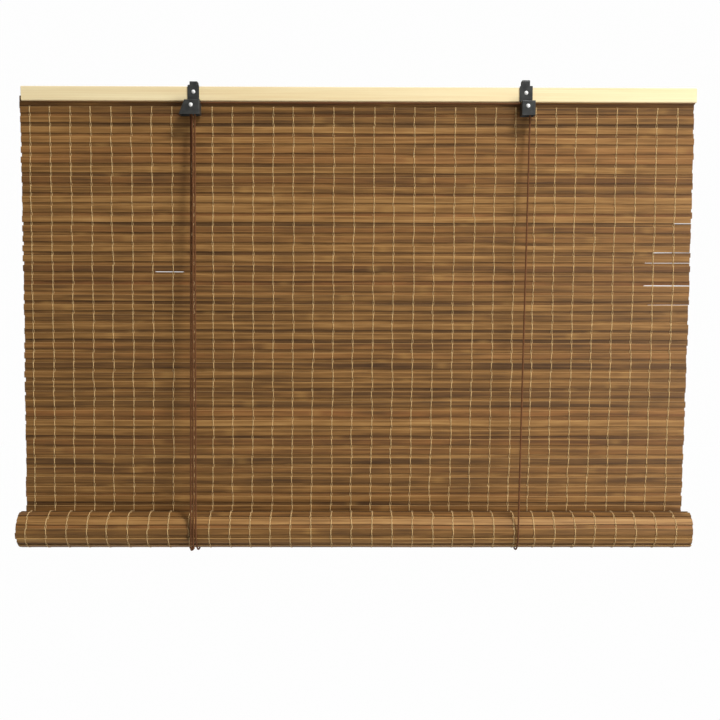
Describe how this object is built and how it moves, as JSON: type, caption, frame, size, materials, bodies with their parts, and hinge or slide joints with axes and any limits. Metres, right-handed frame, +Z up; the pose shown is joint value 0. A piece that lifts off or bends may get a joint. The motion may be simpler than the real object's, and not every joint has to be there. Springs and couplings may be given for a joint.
{
  "type": "bamboo roll up blind",
  "caption": "Roll up blind of woven bamboo slats under a wooden headrail, with its foot rolled up, two folded steel brackets with pulleys, lift cords and a cord lock.",
  "frame": {"origin": "middle of the headrail's back face, where it lies against the wall", "axes": "+X to the right as the blind is looked at, -Y out into the room, +Y into the wall, +Z up"},
  "size_m": [0.906, 0.0648, 0.6299],
  "materials": {
    "pine": "planed, unvarnished, fine straight grain",
    "batten_wood": "turned, unvarnished",
    "bamboo": "split bamboo slats, carbonised brown, varied from slat to slat",
    "thread": "twisted cotton",
    "cord": "braided polyester, reddish brown",
    "black_steel": "satin black enamel",
    "white_rivet": "white, satin",
    "bright_steel": "zinc plated",
    "nylon": "natural nylon"
  },
  "bodies": {
    "root": {"headrail": "pine", "mat_nails": "bright_steel", "woven_mat": "bamboo", "warp_threads": "thread", "left_bracket": "black_steel", "right_bracket": "black_steel", "left_rivet": "white_rivet", "right_rivet": "white_rivet", "bracket_screws": "white_rivet", "right_cord_top": "cord", "left_cord_top": "cord", "left_lift_front": "cord", "right_lift_front": "cord", "left_lift_back": "cord", "right_lift_back": "cord", "outer_pull_strand": "cord", "inner_pull_strand": "cord"},
    "lift": {"left_lift_loop": "cord", "right_lift_loop": "cord"},
    "roll": {"rolled_mat": "bamboo", "bottom_batten": "batten_wood"},
    "pull_end": {"outer_pull_tail": "cord", "inner_pull_tail": "cord", "end_knot": "cord"},
    "left_wheel": {"left_pulley": "nylon"},
    "right_wheel": {"right_pulley": "nylon"},
    "lock": {"lock_roller": "bright_steel"}
  },
  "joints": [
    {"name": "roll_lift", "type": "slide", "parent": "root", "child": "lift", "axis": [0, 0, 1], "range_m": [0, 0.5], "deforming": ["woven_mat", "warp_threads", "left_lift_back", "right_lift_back", "left_lift_front", "right_lift_front", "outer_pull_strand", "inner_pull_strand"]},
    {"name": "roll_turn", "type": "hinge", "parent": "lift", "child": "roll", "pos_m": [0, -0.0334, -0.5819], "axis": [1, 0, 0], "range_deg": [-1080, 0]},
    {"name": "pull_travel", "type": "slide", "parent": "lift", "child": "pull_end", "axis": [0, 0, -1], "range_m": [0, 1.5], "deforming": ["outer_pull_tail", "inner_pull_tail"]},
    {"name": "left_wheel_turn", "type": "hinge", "parent": "root", "child": "left_wheel", "pos_m": [-0.2225, -0.01925, -0.0167], "axis": [0, 1, 0], "continuous": true},
    {"name": "right_wheel_turn", "type": "hinge", "parent": "root", "child": "right_wheel", "pos_m": [0.2224, -0.01925, -0.0167], "axis": [0, 1, 0], "continuous": true},
    {"name": "lock_slide", "type": "slide", "parent": "root", "child": "lock", "axis": [-0.3606, 0, -0.9327], "range_m": [0, 0.003]}
  ],
  "couplings": [
    {"joint": "roll_turn", "follows": "roll_lift", "rad_per_m": -37.699},
    {"joint": "pull_travel", "follows": "roll_lift", "ratio": 3},
    {"joint": "left_wheel_turn", "follows": "roll_lift", "rad_per_m": -465.12},
    {"joint": "right_wheel_turn", "follows": "roll_lift", "rad_per_m": -465.12}
  ]
}
